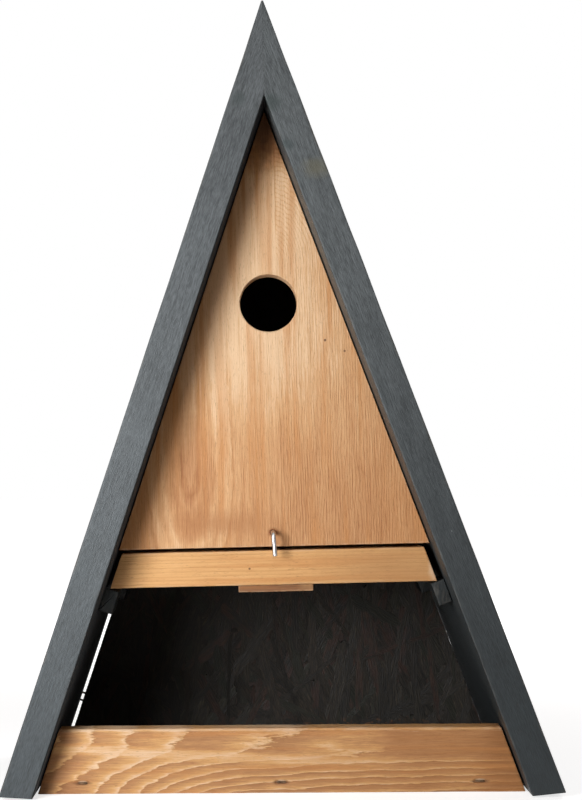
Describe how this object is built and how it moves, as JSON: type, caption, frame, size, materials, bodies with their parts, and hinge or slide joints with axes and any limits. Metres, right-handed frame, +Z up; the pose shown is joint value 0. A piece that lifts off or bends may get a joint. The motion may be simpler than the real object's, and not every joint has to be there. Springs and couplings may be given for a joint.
{
  "type": "nest box",
  "caption": "A-frame wooden nest box: two leaning side boards, front panel with a round entrance, loose nest floor held by a turn hook, and an open bay with a sill below.",
  "frame": {"origin": "middle of the footprint, on the base plane that the sill and the bay floor rest on", "axes": "+Z up, -Y is the front with the entrance hole, +X to the right seen from the front"},
  "size_m": [0.309, 0.18, 0.4343],
  "materials": {
    "grey_paint": "slate grey stain brushed on planed softwood, matt",
    "panel_pine": "oiled softwood, upright grain, satin",
    "floor_pine": "oiled softwood, level grain, satin",
    "sill_larch": "oiled softwood with a bold flame grain, satin",
    "black_strand_board": "black-stained strand board, matt",
    "zinc_wire": "bright zinc-plated wire",
    "staple_wire": "galvanised staple wire"
  },
  "bodies": {
    "box": {"left_side_board": "grey_paint", "right_side_board": "grey_paint", "left_front_cleat": "grey_paint", "right_front_cleat": "grey_paint", "left_back_cleat": "grey_paint", "right_back_cleat": "grey_paint", "front_panel": "panel_pine", "nest_floor": "floor_pine", "floor_grip": "floor_pine", "sill_board": "sill_larch", "bay_floor": "black_strand_board", "back_panel": "black_strand_board", "sill_staples": "staple_wire", "left_back_staples": "staple_wire", "right_back_staples": "staple_wire", "left_panel_staples": "staple_wire", "right_panel_staples": "staple_wire", "left_floor_staples": "staple_wire", "right_floor_staples": "staple_wire", "left_cleat_staples": "staple_wire", "right_cleat_staples": "staple_wire", "grip_staples": "staple_wire"},
    "latch": {"latch_hook": "zinc_wire"}
  },
  "joints": [
    {"name": "latch_turn", "type": "hinge", "parent": "box", "child": "latch", "pos_m": [-0.00382, -0.063, 0.14404], "axis": [0, 1, 0], "range_deg": [-90, 90]}
  ]
}
